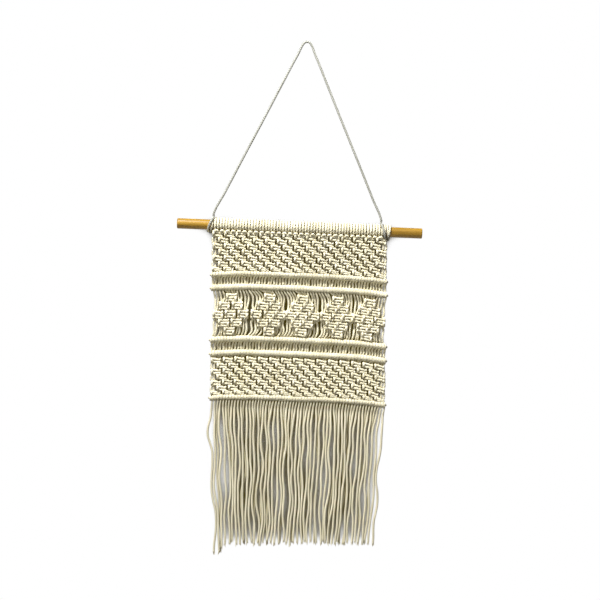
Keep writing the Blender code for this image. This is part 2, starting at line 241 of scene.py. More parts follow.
def build_cord_tree():
    """Smooths each route, turns a three-lobed section round it once every lay, and skins it."""
    inputs = (
        ("Routes", "Geometry", None),
        ("Ring spacing", "Float", 0.8 * MM),
        ("Sides", "Int", 12),
        ("Lay", "Float", 9.0 * MM),
        ("Ply depth", "Float", 0.14),
        ("Finish", "Material", None),
    )
    tree, start, end = open_group("twisted_cord", "GeometryNodeTree", inputs, (("Cord", "Geometry", None),))
    link = tree.links.new

    bezier = add_node(tree, "GeometryNodeCurveSplineType", spline_type="BEZIER")
    handles = add_node(tree, "GeometryNodeCurveSetHandles", handle_type="AUTO")
    resample = add_node(tree, "GeometryNodeResampleCurve", mode="LENGTH")
    along = add_node(tree, "GeometryNodeSplineParameter")
    own_tilt = add_node(tree, "GeometryNodeInputCurveTilt")
    twist = calculate(tree, "DIVIDE", along.outputs["Length"], start.outputs["Lay"])
    twist = calculate(tree, "MULTIPLY_ADD", twist, TURN, own_tilt.outputs["Tilt"])
    tilt = add_node(tree, "GeometryNodeSetCurveTilt")
    keep_tone = add_node(tree, "GeometryNodeStoreNamedAttribute", data_type="FLOAT", domain="POINT")
    keep_tone.inputs["Name"].default_value = "tone"
    keep_length = add_node(tree, "GeometryNodeStoreNamedAttribute", data_type="FLOAT", domain="POINT")
    keep_length.inputs["Name"].default_value = "along"
    link(start.outputs["Routes"], bezier.inputs["Curve"])
    link(bezier.outputs["Curve"], handles.inputs["Curve"])
    link(handles.outputs["Curve"], resample.inputs["Curve"])
    link(start.outputs["Ring spacing"], resample.inputs["Length"])
    link(resample.outputs["Curve"], keep_tone.inputs["Geometry"])
    link(calculate(tree, "DIVIDE", own_tilt.outputs["Tilt"], TURN), keep_tone.inputs["Value"])
    link(keep_tone.outputs["Geometry"], tilt.inputs["Curve"])
    link(twist, tilt.inputs["Tilt"])
    link(tilt.outputs["Curve"], keep_length.inputs["Geometry"])
    link(along.outputs["Length"], keep_length.inputs["Value"])

    circle = add_node(tree, "GeometryNodeCurvePrimitiveCircle", mode="RADIUS")
    circle.inputs["Radius"].default_value = 1.0
    link(start.outputs["Sides"], circle.inputs["Resolution"])
    index = add_node(tree, "GeometryNodeInputIndex")
    angle = calculate(tree, "DIVIDE", index.outputs[0], start.outputs["Sides"])
    lobe = calculate(tree, "COSINE", calculate(tree, "MULTIPLY", angle, 3 * TURN))
    dip = calculate(tree, "MULTIPLY_ADD", lobe, 0.5, -0.5)
    reach = calculate(tree, "MULTIPLY_ADD", dip, start.outputs["Ply depth"], 1.0)
    place = add_node(tree, "GeometryNodeInputPosition")
    keep_around = add_node(tree, "GeometryNodeStoreNamedAttribute", data_type="FLOAT_VECTOR", domain="POINT")
    keep_around.inputs["Name"].default_value = "around"
    keep_ply = add_node(tree, "GeometryNodeStoreNamedAttribute", data_type="FLOAT", domain="POINT")
    keep_ply.inputs["Name"].default_value = "ply"
    lobed = add_node(tree, "ShaderNodeVectorMath", operation="SCALE")
    shape = add_node(tree, "GeometryNodeSetPosition")
    link(circle.outputs["Curve"], keep_around.inputs["Geometry"])
    link(place.outputs[0], keep_around.inputs["Value"])
    link(keep_around.outputs["Geometry"], keep_ply.inputs["Geometry"])
    link(lobe, keep_ply.inputs["Value"])
    link(place.outputs[0], lobed.inputs[0])
    link(reach, lobed.inputs["Scale"])
    link(keep_ply.outputs["Geometry"], shape.inputs["Geometry"])
    link(lobed.outputs[0], shape.inputs["Position"])

    radius = add_node(tree, "GeometryNodeInputRadius")
    skin = add_node(tree, "GeometryNodeCurveToMesh")
    skin.inputs["Fill Caps"].default_value = True
    smooth = add_node(tree, "GeometryNodeSetShadeSmooth")
    realize = add_node(tree, "GeometryNodeRealizeInstances")
    finish = add_node(tree, "GeometryNodeSetMaterial")
    link(keep_length.outputs["Geometry"], skin.inputs["Curve"])
    link(shape.outputs["Geometry"], skin.inputs["Profile Curve"])
    link(radius.outputs["Radius"], skin.inputs["Scale"])
    link(skin.outputs["Mesh"], smooth.inputs["Geometry"])
    link(smooth.outputs["Geometry"], realize.inputs["Geometry"])
    link(realize.outputs["Geometry"], finish.inputs["Geometry"])
    link(start.outputs["Finish"], finish.inputs["Material"])
    link(finish.outputs["Geometry"], end.inputs["Cord"])
    return tree


def sweep_cords(name, routes, tree, material, **sizes):
    """One mesh of twisted cords. A route is a list of (point, radius)."""
    curve = bpy.data.curves.new(name, "CURVE")
    curve.dimensions = "3D"
    chance = random.Random(name)
    for route in routes:
        spline = curve.splines.new("POLY")
        spline.points.add(len(route) - 1)
        start_turn = chance.uniform(0, TURN)
        for point, (place, radius) in zip(spline.points, route):
            point.co = (*place, 1.0)
            point.radius = radius
            point.tilt = start_turn
    guide = bpy.data.objects.new(name + "_routes", curve)
    bpy.context.scene.collection.objects.link(guide)
    sweep = guide.modifiers.new("sweep", "NODES")
    sweep.node_group = tree
    values = {"Finish": material, **sizes}
    for item in tree.interface.items_tree:
        if item.in_out == "INPUT" and item.name in values:
            sweep[item.identifier] = values[item.name]
    graph = bpy.context.evaluated_depsgraph_get()
    mesh = bpy.data.meshes.new_from_object(guide.evaluated_get(graph))
    mesh.name = name
    bpy.data.objects.remove(guide)
    bpy.data.curves.remove(curve)
    piece = bpy.data.objects.new(name, mesh)
    bpy.context.scene.collection.objects.link(piece)
    return piece


# ---------------------------------------------------------------- how the flat cloth hangs


def ease(share):
    share = min(max(share, 0.0), 1.0)
    return share * share * (3 - 2 * share)


def hang(place):
    """Where a point of the flat cloth lies once it hangs: arched, leaning, and a little uneven."""
    x, y, z = place
    down = (DOWEL_Z - 8 * MM - z) / (DOWEL_Z - 8 * MM - RIDGE_Z[0])
    across = min(abs(x) / CLOTH_HALF, 1.0)
    arch = (ARCH_RISE - ARCH_DROOP * across ** 4) * min(max(down, 0.0), 1.0)
    lean = LEAN * min(max((DOWEL_Z - z) / (DOWEL_Z - RIDGE_Z[4]), 0.0), 1.0)
    forward = NET_FORWARD * (1 - ease(down)) if down > 0 else 0.0
    uneven = noise.noise_vector(Vector((x * 45, 3.0, z * 45))) * (0.5 * MM * ease(down))
    return Vector((x + lean, y - forward, z + arch)) + Vector((uneven.x, 0.4 * uneven.y, uneven.z))


def hung(route):
    return [(hang(place), radius) for place, radius in route]


def strand_x(strand):
    return (strand + 0.5 - STRANDS / 2) * STRAND_PITCH


# ---------------------------------------------------------------- knots


def half_knot_turns(entry, between, number, count):
    if number == 0:
        return entry
    if number == count - 1:
        return leaving(entry)
    return between


def leaving(entry):
    """The last half knot's turns: the first one's, upside down."""
    return tuple((1 - height, -across, depth) for height, across, depth in reversed(entry))[1:]


def tie_knot(routes, strands, centre_x, top, size, half_knots, chance):
    """Runs four cords through a square knot. Returns the strands in the order they leave it."""
    left, core_left, core_right, right = strands
    half_width, height, slant = size
    half_width *= chance.uniform(0.96, 1.04)
    depth_share = chance.uniform(0.92, 1.06)
    centre_x += chance.uniform(-0.25, 0.25) * MM
    top += chance.uniform(-0.2, 0.2) * MM
    slope = chance.uniform(-0.05, 0.05) - slant

    def put(strand, share, across, depth):
        side = half_width * across
        place = Vector((centre_x + side, KNOT_DEPTH * depth_share * depth, top - height * share + slope * side))
        routes[strand].append((place, KNOTTED_RADIUS))

    for strand, entry, between, side in ((left, FRONT_ENTRY, FRONT_MIDDLE, 1), (right, BACK_ENTRY, BACK_MIDDLE, -1)):
        for number in range(half_knots):
            for share, across, depth in half_knot_turns(entry, between, number, half_knots):
                put(strand, (number + share) / half_knots, side * across, depth)
            side = -side
    core = CORE_OFFSET / half_width
    for strand, side in ((core_left, -1), (core_right, 1)):
        for share, across in ((0.0, 1.3 * core), (0.2, core), (0.5, core), (0.8, core), (1.0, 1.3 * core)):
            put(strand, share, side * across, 0.0)
    return strands if half_knots % 2 == 0 else (right, core_left, core_right, left)


def tie_net_row(routes, row, top, height, chance):
    """A row of square knots; every second row is shifted by two cords and leaves the edges loose."""
    shift = 2 * (row % 2)
    for column in range(COLUMNS - row % 2):
        first = 4 * column + shift
        strands = (first, first + 1, first + 2, first + 3)
        centre_x = (strand_x(first) + strand_x(first + 3)) / 2
        tie_knot(routes, strands, centre_x, top, (KNOT_HALF_WIDTH, height, KNOT_SLANT), 2, chance)
    if shift:
        for strand, side in ((0, -1), (1, -1), (STRANDS - 2, 1), (STRANDS - 1, 1)):
            outward = 0.7 * MM * side
            for share in (0.1, 0.5, 0.9):
                bow = outward * math.sin(math.pi * share)
                place = Vector((strand_x(strand) + bow, -1.3 * MM, top - height * share))
                routes[strand].append((place, CORD_RADIUS))


def tie_net(routes, first_middle, last_middle, lowest, chance):
    pitch = (first_middle - last_middle) / (NET_ROWS - 1)
    for row in range(NET_ROWS):
        centre = first_middle - pitch * row
        top = centre + pitch * KNOT_SHARE / 2
        bottom = max(centre - pitch * KNOT_SHARE / 2, lowest)
        tie_net_row(routes, row, top, top - bottom, chance)


def hitch_turn(strand, ridge_z, degrees):
    """A point of a cord's double half hitch; 0 degrees is the ridge's front and 90 its top."""
    angle = math.radians(degrees)
    shift = min(max((degrees - 540) / 90, -1.0), 1.0) * HITCH_SHIFT + 0.2 * MM * (degrees - 540) / 360
    place = (strand_x(strand) + shift, -RIDGE_FORWARD - RIDGE_RING * math.cos(angle), ridge_z + RIDGE_RING * math.sin(angle))
    return Vector(place), HITCHED_RADIUS


def hitch_ridge(routes, ridge_z, first=0, last=990):
    for strand, route in routes.items():
        for degrees in range(180, 991, 45):
            if first <= degrees <= last:
                route.append(hitch_turn(strand, ridge_z, degrees))


def leave_ridge(routes, ridge_z):
    """The last quarter turn of each hitch, hidden behind the ridge, where a lower piece starts."""
    for strand, route in routes.items():
        for degrees in (900, 945, 990):
            place, radius = hitch_turn(strand, ridge_z, degrees)
            route.append((place, radius))


# ---------------------------------------------------------------- sections of the cloth


def head_half(head_x, side):
    """From the first row of knots, behind the bar, up over the dowel, down its back and out to the bar."""
    turns = (
        (HEAD_BAR_ANGLE - 12, HEAD_INNER - 0.2 * MM, HEAD_FRONT),
        (-15, HEAD_INNER, HEAD_FRONT),
        (15, HEAD_INNER, HEAD_FRONT),
        (50, HEAD_INNER, HEAD_FRONT),
        (90, HEAD_INNER, HEAD_FRONT),
        (135, HEAD_INNER, 1.1 * HEAD_FRONT),
        (180, HEAD_INNER, HEAD_BACK),
        (225, HEAD_INNER, HEAD_BACK),
        (262, HEAD_INNER + 0.3 * MM, HEAD_BACK),
        (290, HEAD_INNER + 1.4 * MM, HEAD_BACK),
        (308, HEAD_OUTER, 0.85 * HEAD_BACK),
        (318, HEAD_OUTER + 0.2 * MM, 0.4 * HEAD_BACK),
    )
    route = []
    for degrees, reach, across in turns:
        angle = math.radians(degrees)
        place = (head_x + side * across, -reach * math.cos(angle), DOWEL_Z + reach * math.sin(angle))
        route.append((Vector(place), HEAD_RADIUS))
    return route


def upper_routes(chance):
    """The upper net and ridge 1, then each folded cord joined over the dowel by its lark's head."""
    routes = {strand: [] for strand in range(STRANDS)}
    tie_net(routes, DOWEL_Z - UPPER_FIRST_ROW, RIDGE_Z[0] + UPPER_LAST_ROW, RIDGE_Z[0] + KNOT_TO_RIDGE, chance)
    hitch_ridge(routes, RIDGE_Z[0])
    folded = []
    for cord in range(STRANDS // 2):
        left, right = 2 * cord, 2 * cord + 1
        head_x = (strand_x(left) + strand_x(right)) / 2 * HEADS_DRAWN + HEADS_ASIDE
        head_x += chance.uniform(-0.2, 0.2) * MM
        up = hung(routes[left][::-1])
        down = hung(routes[right])
        folded.append(up + head_half(head_x, -1) + head_half(head_x, 1)[::-1] + down)
    return folded


def lower_routes(chance):
    """Ridge 4, the lower net and ridge 5."""
    routes = {strand: [] for strand in range(STRANDS)}
    hitch_ridge(routes, RIDGE_Z[3])
    tie_net(routes, RIDGE_Z[3] - LOWER_FIRST_ROW, RIDGE_Z[4] + LOWER_LAST_ROW, RIDGE_Z[4] + KNOT_TO_RIDGE, chance)
    hitch_ridge(routes, RIDGE_Z[4])
    return [hung(routes[strand]) for strand in range(STRANDS)]


def loose_band_routes(upper_z, lower_z, chance):
    """Loose cords between two ridges, from behind the upper one to behind the lower one."""
    routes = {strand: [] for strand in range(STRANDS)}
    leave_ridge(routes, upper_z)
    for strand, route in routes.items():
        for share in (0.35, 0.65):
            place = Vector((strand_x(strand) + chance.uniform(-0.6, 0.6) * MM,
                            chance.uniform(0.3, 1.8) * MM,
                            upper_z + (lower_z - upper_z) * share))
            route.append((place, BAND_RADIUS))
        place, radius = hitch_turn(strand, lower_z, 180)
        route.append((place + Vector((0.0, -0.6 * MM, 0.8 * MM)), radius))
        route.append((place, radius))
    return [hung(routes[strand]) for strand in range(STRANDS)]


# Which strands of a section, counted from 0 to 11, each row of a diamond ties
DIAMOND_GROUPS = (
    ((4, 5, 6, 7),),
    ((2, 3, 4, 5), (6, 7, 8, 9)),
    ((0, 1, 2, 3), (4, 5, 6, 7), (8, 9, 10, 11)),
    ((2, 3, 4, 5), (6, 7, 8, 9)),
    ((4, 5, 6, 7),),
)


def diamond_drift(x, z):
    """How far a point between ridges 2 and 3 is drawn aside, from nothing at the ridges and the edges."""
    down = (RIDGE_Z[1] - z) / (RIDGE_Z[1] - RIDGE_Z[2])
    across = (x + CLOTH_HALF) / (2 * CLOTH_HALF) * DIAMONDS - 0.5
    drifts = [0.0, *(top + (bottom - top) * down for top, bottom in DIAMOND_DRIFTS), 0.0]
    first = min(max(math.floor(across) + 1, 0), DIAMONDS)
    share = min(max(across + 1 - first, 0.0), 1.0)
    return (drifts[first] * (1 - share) + drifts[first + 1] * share) * MM * ease(7 * down) * ease(7 * (1 - down))


def diamond_routes(diamond, chance):
    """Ridge 2, a diamond of knots with loose cords bowing past it, and ridge 3, for 12 cords."""
    count = STRANDS // DIAMONDS
    first = diamond * count
    routes = {strand: [] for strand in range(first, first + count)}
    hitch_ridge(routes, RIDGE_Z[1])
    order = list(routes)
    top = RIDGE_Z[1] - DIAMOND_START
    for groups in DIAMOND_GROUPS:
        tied = set()
        for group in groups:
            strands = tuple(order[slot] for slot in group)
            centre_x = strand_x(first) + STRAND_PITCH * sum(group) / 4
            centre_x += diamond_drift(centre_x, top - DIAMOND_KNOT[1] / 2)
            left_to_right = tie_knot(routes, strands, centre_x, top, DIAMOND_KNOT, 3, chance)
            for slot, strand in zip(group, left_to_right):
                order[slot] = strand
            tied.update(group)
        for slot in range(count):
            if slot not in tied:
                side = 1 if slot >= count / 2 else -1
                home = strand_x(first + slot)
                height = top - DIAMOND_KNOT[1] / 2
                inward = chance.uniform(0.2, 1.7) * MM
                place = Vector((home - side * inward + diamond_drift(home, height),
                                chance.uniform(-0.2, 1.4) * MM, height))
                routes[order[slot]].append((place, CORD_RADIUS))
        top -= DIAMOND_ROW
    homes = {strand: first + slot for slot, strand in enumerate(order)}
    for strand, route in routes.items():
        for degrees in range(180, 991, 45):
            route.append(hitch_turn(homes[strand], RIDGE_Z[2], degrees))
    return [hung(route) for route in routes.values()]


def push_apart(places):
    """Moves cords that press into each other at one height apart, sideways and in depth."""
    for _ in range(PUSHES):
        for number, place in enumerate(places):
            for other in places[number + 1:number + 7]:
                gap = other - place
                short = FRINGE_SPACING - gap.length
                if short > 0:
                    step = gap.normalized() * (short / 2)
                    other += step
                    place -= step


def fringe_homes(chance):
    """Where each strand wants to hang, across and in depth: three of a column in front, one behind."""
    homes = []
    for column in range(COLUMNS):
        behind = chance.choice((0, 1, 2, 3))
        centre = (strand_x(4 * column) + strand_x(4 * column + 3)) / 2
        slot = -1
        for number in range(4):
            if number == behind:
                homes.append(Vector((strand_x(4 * column + number), FRINGE_BEHIND)))
            else:
                homes.append(Vector((centre + slot * COLUMN_PITCH / 3, FRINGE_FRONT + chance.uniform(-0.4, 0.4) * MM)))
                slot += 1
    return homes


def fringe_wave(strand, home, share, wave):
    """How far a strand sways from its home at a share of its length."""
    sway = noise.noise_vector(Vector((strand * 7.3, SEED, share * 4.6)))
    bunch = noise.noise(Vector((home.x * 75, SEED, share * 3.4)))
    bow = math.sin(math.pi * ease(share * 2.3)) ** 2
    bulge = EDGE_BULGE[strand] * bow if strand < len(EDGE_BULGE) else 0.0
    across = wave * sway.x * ease(share * 4) + BUNCHING * bunch * ease(share * 2.5) + bulge
    return Vector((across, 0.4 * wave * sway.y * ease(share * 3)))


def frayed_end(tip, radius, chance):
    """The three plies of a cut end, which open out a little."""
    plies = []
    turn = chance.uniform(0, TURN)
    for number in range(3):
        angle = turn + number * TURN / 3
        outward = Vector((math.cos(angle), math.sin(angle), 0.0))
        length = chance.uniform(1.5, 4.5) * MM
        flare = chance.uniform(0.5, 1.1) * MM
        route = []
        for down, out, thick in ((-1.5, 0.4, 0.5), (0.0, 0.5, 0.5), (0.5, 0.7, 0.4), (1.0, 1.0, 0.22)):
            drop = down * (length if down > 0 else MM)
            spread = outward * (radius * 0.45 + flare * (out - 0.4))
            route.append((tip + spread - Vector((0.0, 0.0, drop)), radius * thick))
        plies.append(route)
    return plies


def fringe_routes(chance):
    """Sixty loose ends, which wave, bunch and hang nearly straight. Returns them by column."""
    routes = {strand: [] for strand in range(STRANDS)}
    leave_ridge(routes, RIDGE_Z[4])
    top = RIDGE_Z[4] - RIDGE_HALF
    homes = fringe_homes(chance)
    waves = [chance.uniform(2.2, 4.4) * MM for strand in routes]
    tips = []
    for strand in routes:
        rise = 1.5 + 9.5 * (strand / STRANDS) ** 2 - 11 * ease((6 - strand) / 6)
        tips.append(FRINGE_TIP_Z + (chance.uniform(-3.0, 1.5) + rise) * MM)
    starts = [Vector((strand_x(strand), 0.0)) for strand in routes]
    wanted_before = starts
    places = [start.copy() for start in starts]
    for step in range(1, FRINGE_STEPS + 1):
        share = step / FRINGE_STEPS
        settle = ease(share * 5)
        wanted = []
        for strand, home in enumerate(homes):
            target = starts[strand].lerp(home, settle)
            target.x *= 1 - (1 - FRINGE_GATHER) * share
            wanted.append(target + fringe_wave(strand, home, share, waves[strand]))
        for place, before, now in zip(places, wanted_before, wanted):
            place += (now - before) + (before - place) * 0.35
        wanted_before = wanted
        push_apart(places)
        for strand, place in enumerate(places):
            z = top + (tips[strand] - top) * share
            point = Vector((place.x + FRINGE_DRIFT * share, place.y, z))
            routes[strand].append((point, FRINGE_RADIUS * (1 - 0.05 * share)))
    columns = []
    for column in range(COLUMNS):
        made = [hung(routes[strand]) for strand in range(4 * column, 4 * column + 4)]
        for route in list(made):
            tip, radius = route[-1]
            made += frayed_end(tip, radius, chance)
        columns.append(made)
    return columns


def holding_route(ridge_z):
    """A holding cord, straight through its ridge, with its ends turned to the back."""
    route = []
    for side in (-1, 1):
        half = [Vector((side * CLOTH_HALF * share, -RIDGE_FORWARD, ridge_z)) for share in (0.0, 0.25, 0.5, 0.75, 0.97)]
        half.append(Vector((side * (CLOTH_HALF + 0.6 * MM), 0.0, ridge_z)))
        half.append(Vector((side * (CLOTH_HALF - 0.4 * MM), 3.6 * MM, ridge_z - 0.8 * MM)))
        half.append(Vector((side * (CLOTH_HALF - 5.0 * MM), 4.6 * MM, ridge_z - 2.5 * MM)))
        route = half[::-1] if side < 0 else route + half[1:]
    return [(hang(place), HOLDING_RADIUS) for place in route]


# ---------------------------------------------------------------- hanging cord


# Turns of each end hitch, both wound the same way, from its leg to its tail: degrees down round the
# dowel's front, lift off the wood in millimetres, and millimetres to the right of the hitch's middle
LEFT_HITCH = (
    (-60, 2.8, 3.4), (-30, 2.4, 1.3), (0, 1.5, -0.8), (40, 0.3, -2.6), (90, 0.0, -3.0), (135, 0.0, -2.0),
    (180, 0.0, -0.4), (225, 0.0, 1.0), (270, 0.0, 1.9), (315, 0.0, 2.2), (360, 0.0, 2.2), (400, 0.1, 1.2),
    (435, 1.0, 0.0), (465, 1.6, -0.6), (490, 1.9, -0.9), (510, 2.0, -1.0),
)
RIGHT_HITCH = (
    (-60, 3.6, -9.4), (-30, 3.4, -7.4), (0, 3.1, -5.5), (40, 3.0, -4.0), (90, 2.2, -3.7), (135, 1.0, -4.6),
    (180, 0.2, -4.9), (225, 0.0, -4.8), (270, 0.0, -4.6), (315, 0.0, -4.4), (360, 0.0, -4.1), (405, 0.0, -3.2),
    (450, 0.0, -2.2), (495, 0.0, -1.7), (540, 0.0, -1.5), (585, 0.0, -1.4), (630, 0.0, -1.3), (675, 0.0, -1.2),
    (720, 0.0, -0.8), (765, 0.0, 0.2), (810, 0.0, 1.1), (855, 0.0, 1.7), (900, 0.0, 1.9), (945, 0.0, 2.0),
    (990, 0.0, 2.0), (1035, 0.0, 1.9), (1080, 0.2, 1.2), (1120, 0.8, 0.2), (1155, 1.5, 0.2), (1185, 1.9, 0.4),
    (1210, 2.0, 0.6),
)


def hitch_route(turns, hitch_x):
    route = []
    for degrees, lift, across in turns:
        angle = math.radians(degrees)
        reach = DOWEL_RADIUS + HANGING_DIAMETER / 2 + (0.1 + lift) * MM
        route.append(Vector((hitch_x + across * MM, -reach * math.cos(angle), DOWEL_Z - reach * math.sin(angle))))
    return route


def hanging_route():
    """The whole hanging cord: tail, hitch, leg, nail, leg, hitch and tail."""
    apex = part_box("hanging_cord")[1].z - HANGING_DIAMETER / 2
    end_y = -2 * HANGING_DIAMETER
    hitch_x = middle("hanging_knot_right").x
    whole = []
    for turns, side, inward in ((LEFT_HITCH, -1, 1.8 * MM), (RIGHT_HITCH, 1, 2.4 * MM)):
        hitch = hitch_route(turns, side * (hitch_x - inward))
        leg_x = hitch[0].x
        drop = apex - (hitch[0].z + LEG_START)
        leg = [Vector((abs(leg_x) * side * across, end_y * forward, apex - drop * fallen))
               for across, forward, fallen in HANGING_CORD_ROUTE]
        half = hitch[::-1] + leg
        whole = half if side < 0 else whole + half[-2::-1]
    return whole


# ---------------------------------------------------------------- materials


def build_cotton_group():
    """Colour, roughness and height of twisted cotton, from the cord's own attributes, with painted shade in the ply
    grooves and in the hollows between cords.
    """
    inputs = (
        ("Lit", "Color", (0.9, 0.84, 0.66, 1)),
        ("Groove shade", "Color", (0.6, 0.5, 0.25, 1)),
        ("Crease shade", "Color", (0.3, 0.24, 0.06, 1)),
        ("Patchiness", "Float", 0.1),
    )
    outputs = (("Colour", "Color", None), ("Roughness", "Float", None), ("Height", "Float", None))
    tree, start, end = open_group("twisted_cotton", "ShaderNodeTree", inputs, outputs)
    link = tree.links.new
    ply = add_node(tree, "ShaderNodeAttribute", attribute_name="ply")
    along = add_node(tree, "ShaderNodeAttribute", attribute_name="along")
    around = add_node(tree, "ShaderNodeAttribute", attribute_name="around")
    tone = add_node(tree, "ShaderNodeAttribute", attribute_name="tone")
    place = add_node(tree, "ShaderNodeTexCoord")

    # Fibres run along each ply, so their pattern is drawn out along the cord
    stretched = add_node(tree, "ShaderNodeCombineXYZ")
    link(calculate(tree, "MULTIPLY", along.outputs["Fac"], 260.0), stretched.inputs["Z"])
    section = add_node(tree, "ShaderNodeVectorMath", operation="MULTIPLY_ADD")
    section.inputs[1].default_value = (5.0, 5.0, 0.0)
    link(around.outputs["Vector"], section.inputs[0])
    link(stretched.outputs[0], section.inputs[2])
    fibres = add_node(tree, "ShaderNodeTexNoise")
    fibres.inputs["Scale"].default_value = 1.6
    fibres.inputs["Detail"].default_value = 3.0
    link(section.outputs[0], fibres.inputs["Vector"])
    patches = add_node(tree, "ShaderNodeTexNoise")
    patches.inputs["Scale"].default_value = 38.0
    patches.inputs["Detail"].default_value = 2.0
    link(place.outputs["Object"], patches.inputs["Vector"])

    # Painted shade: the ply grooves get the darker Groove colour and the ply crowns the Lit colour, broken by random
    # fibre streaks
    crown = calculate(tree, "MULTIPLY_ADD", ply.outputs["Fac"], 0.5, 0.5)
    crown = calculate(tree, "POWER", crown, 0.6)
    worn = calculate(tree, "MULTIPLY_ADD", fibres.outputs["Fac"], 0.5, -0.25)
    shade = add_node(tree, "ShaderNodeMix", data_type="RGBA", clamp_factor=True)
    link(calculate(tree, "ADD", crown, worn), shade.inputs["Factor"])
    link(start.outputs["Groove shade"], shade.inputs[6])
    link(start.outputs["Lit"], shade.inputs[7])
    patch = calculate(tree, "SUBTRACT", patches.outputs["Fac"], 0.5)
    value = calculate(tree, "MULTIPLY_ADD", patch, start.outputs["Patchiness"], 1.0)
    own = calculate(tree, "SUBTRACT", tone.outputs["Fac"], 0.5)
    value = calculate(tree, "MULTIPLY_ADD", own, 0.14, value)
    tint = add_node(tree, "ShaderNodeHueSaturation")
    link(calculate(tree, "MULTIPLY_ADD", patch, -0.5, 1.0), tint.inputs["Saturation"])
    link(value, tint.inputs["Value"])
    link(shade.outputs[2], tint.inputs["Color"])

    # Painted shade: where the AO node finds cords close around, the colour is mixed towards the darker, yellower Crease
    # colour
    openness = add_node(tree, "ShaderNodeAmbientOcclusion", samples=6)
    openness.inputs["Distance"].default_value = 6 * MM
    shown = add_node(tree, "ShaderNodeMapRange", interpolation_type="SMOOTHSTEP")
    shown.inputs["From Min"].default_value = 0.2
    shown.inputs["From Max"].default_value = 0.72
    crease_shaded = add_node(tree, "ShaderNodeMix", data_type="RGBA")
    link(openness.outputs["AO"], shown.inputs["Value"])
    link(shown.outputs["Result"], crease_shaded.inputs["Factor"])
    link(start.outputs["Crease shade"], crease_shaded.inputs[6])
    link(tint.outputs["Color"], crease_shaded.inputs[7])
    link(crease_shaded.outputs[2], end.inputs["Colour"])
    link(calculate(tree, "MULTIPLY_ADD", fibres.outputs["Fac"], 0.2, 0.75), end.inputs["Roughness"])
    height = calculate(tree, "MULTIPLY_ADD", fibres.outputs["Fac"], 0.5, crown)
    link(height, end.inputs["Height"])
    return tree


def cotton_material(title, group, lit, groove_shade, crease_shade, patchiness):
    material = bpy.data.materials.new(title)
    material.use_nodes = True
    tree = material.node_tree
    shader = tree.nodes["Principled BSDF"]
    cotton = add_node(tree, "ShaderNodeGroup", node_tree=group)
    cotton.inputs["Lit"].default_value = (*lit, 1.0)
    # Painted shade for the ply grooves
    cotton.inputs["Groove shade"].default_value = (*groove_shade, 1.0)
    # Painted shade for the hollows between cords
    cotton.inputs["Crease shade"].default_value = (*crease_shade, 1.0)
    cotton.inputs["Patchiness"].default_value = patchiness
    bump = add_node(tree, "ShaderNodeBump")
    bump.inputs["Strength"].default_value = 0.5
    bump.inputs["Distance"].default_value = 0.15 * MM
    tree.links.new(cotton.outputs["Height"], bump.inputs["Height"])
    tree.links.new(cotton.outputs["Colour"], shader.inputs["Base Color"])
    tree.links.new(cotton.outputs["Roughness"], shader.inputs["Roughness"])
    tree.links.new(bump.outputs["Normal"], shader.inputs["Normal"])
    shader.inputs["Sheen Weight"].default_value = 0.15
    shader.inputs["Sheen Roughness"].default_value = 0.5
    shader.inputs["Specular IOR Level"].default_value = 0.2
    return material


def hanging_material(group):
    """Cotton that is cream where it is tied, with painted shade greying and darkening it along its legs."""
    # Its second and third colours are painted shade, for the ply grooves and for the hollows between cords
    material = cotton_material("hanging_cotton", group, (0.86, 0.82, 0.66), (0.50, 0.44, 0.26), (0.24, 0.19, 0.07), 0.3)
    tree = material.node_tree
    link = tree.links.new
    cotton = next(node for node in tree.nodes if node.type == "GROUP")
    place = add_node(tree, "ShaderNodeTexCoord")
    to_dowel = add_node(tree, "ShaderNodeVectorMath", operation="SUBTRACT")
    to_dowel.inputs[1].default_value = (0, 0, DOWEL_Z)
    across = add_node(tree, "ShaderNodeVectorMath", operation="MULTIPLY")
    across.inputs[1].default_value = (0, 1, 1)
    out = add_node(tree, "ShaderNodeVectorMath", operation="LENGTH")
    legs = add_node(tree, "ShaderNodeMapRange")
    legs.inputs["From Min"].default_value = DOWEL_RADIUS + HANGING_DIAMETER
    legs.inputs["From Max"].default_value = DOWEL_RADIUS + HANGING_DIAMETER + 0.8 * MM
    link(place.outputs["Object"], to_dowel.inputs[0])
    link(to_dowel.outputs["Vector"], across.inputs[0])
    link(across.outputs["Vector"], out.inputs[0])
    link(out.outputs["Value"], legs.inputs["Value"])
    # Painted shade: away from the dowel the legs are given a grey, darker colour
    for socket, tied, leg_shade in (("Lit", (0.86, 0.82, 0.66, 1), (0.42, 0.42, 0.38, 1)),
                                  ("Groove shade", (0.50, 0.44, 0.26, 1), (0.22, 0.22, 0.18, 1))):
        blend = add_node(tree, "ShaderNodeMix", data_type="RGBA")
        blend.inputs[6].default_value = tied
        blend.inputs[7].default_value = leg_shade
        link(legs.outputs["Result"], blend.inputs["Factor"])
        link(blend.outputs[2], cotton.inputs[socket])
    return material


